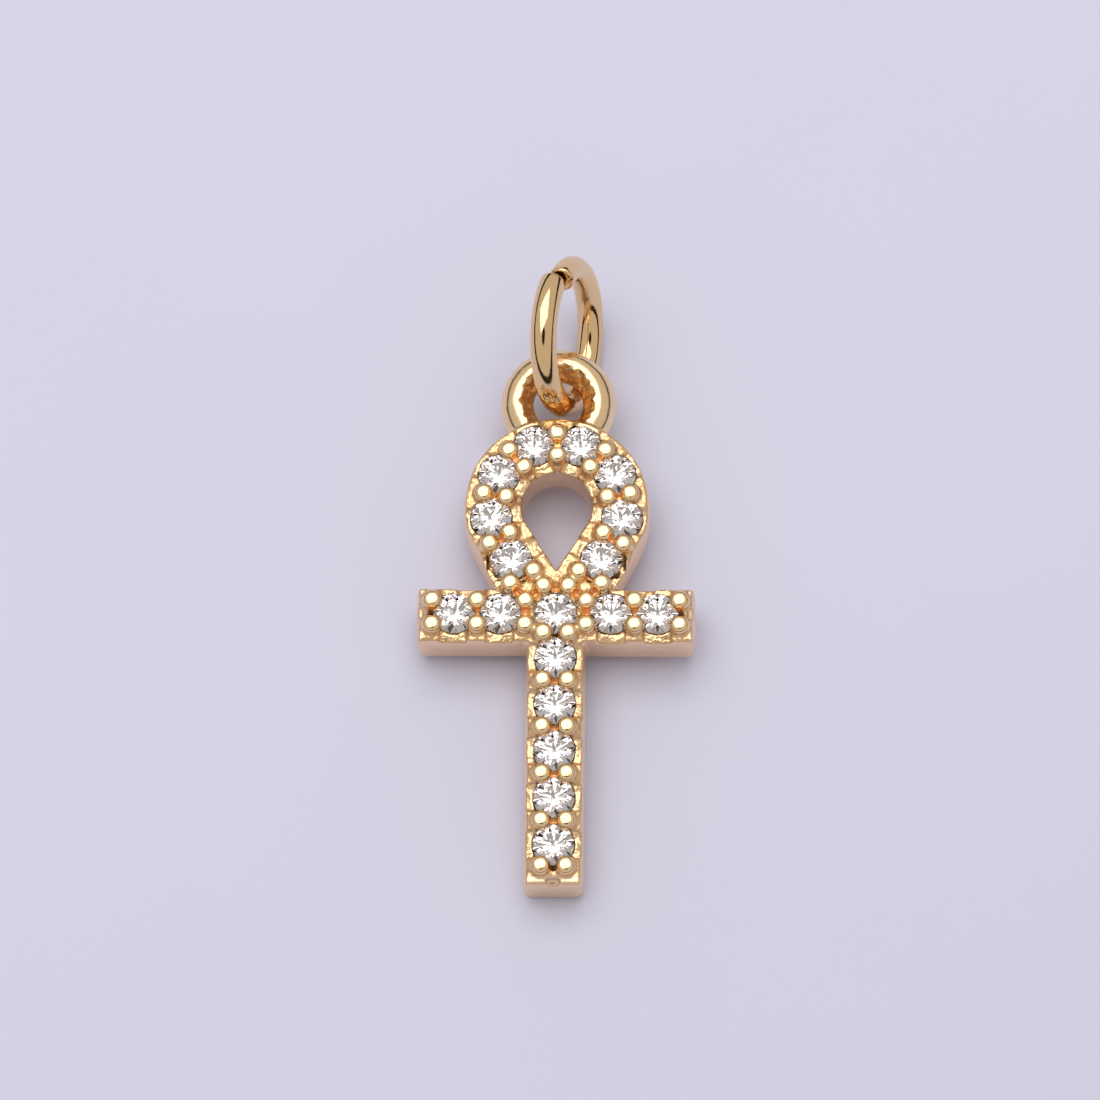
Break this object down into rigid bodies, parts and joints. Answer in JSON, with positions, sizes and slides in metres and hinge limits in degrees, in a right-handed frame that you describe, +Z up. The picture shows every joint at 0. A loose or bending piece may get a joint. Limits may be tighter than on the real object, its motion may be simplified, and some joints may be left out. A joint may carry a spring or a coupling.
{
  "type": "ankh pendant",
  "caption": "Small ankh-shaped pendant in gold plated metal, pave set with round clear stones, with a thick cast eye and an open jump ring for a chain.",
  "frame": {"origin": "middle of the whole part's box, on the surface that it lies on", "axes": "+X to the right seen from above, +Y from the foot of the post towards the jump ring, +Z up from the surface"},
  "size_m": [0.0084, 0.0197, 0.0048],
  "materials": {
    "gold_plate": "gold plated, polished faces over satin side walls",
    "clear_stone": "faceted and polished clear cubic zirconia"
  },
  "bodies": {
    "root": {"ankh": "gold_plate", "jump_ring": "gold_plate", "loop_stone_1": "clear_stone", "loop_stone_2": "clear_stone", "loop_stone_3": "clear_stone", "loop_stone_4": "clear_stone", "loop_stone_5": "clear_stone", "loop_stone_6": "clear_stone", "loop_stone_7": "clear_stone", "loop_stone_8": "clear_stone", "bar_stone_1": "clear_stone", "bar_stone_2": "clear_stone", "bar_stone_3": "clear_stone", "bar_stone_4": "clear_stone", "bar_stone_5": "clear_stone", "post_stone_1": "clear_stone", "post_stone_2": "clear_stone", "post_stone_3": "clear_stone", "post_stone_4": "clear_stone", "post_stone_5": "clear_stone"}
  },
  "joints": []
}
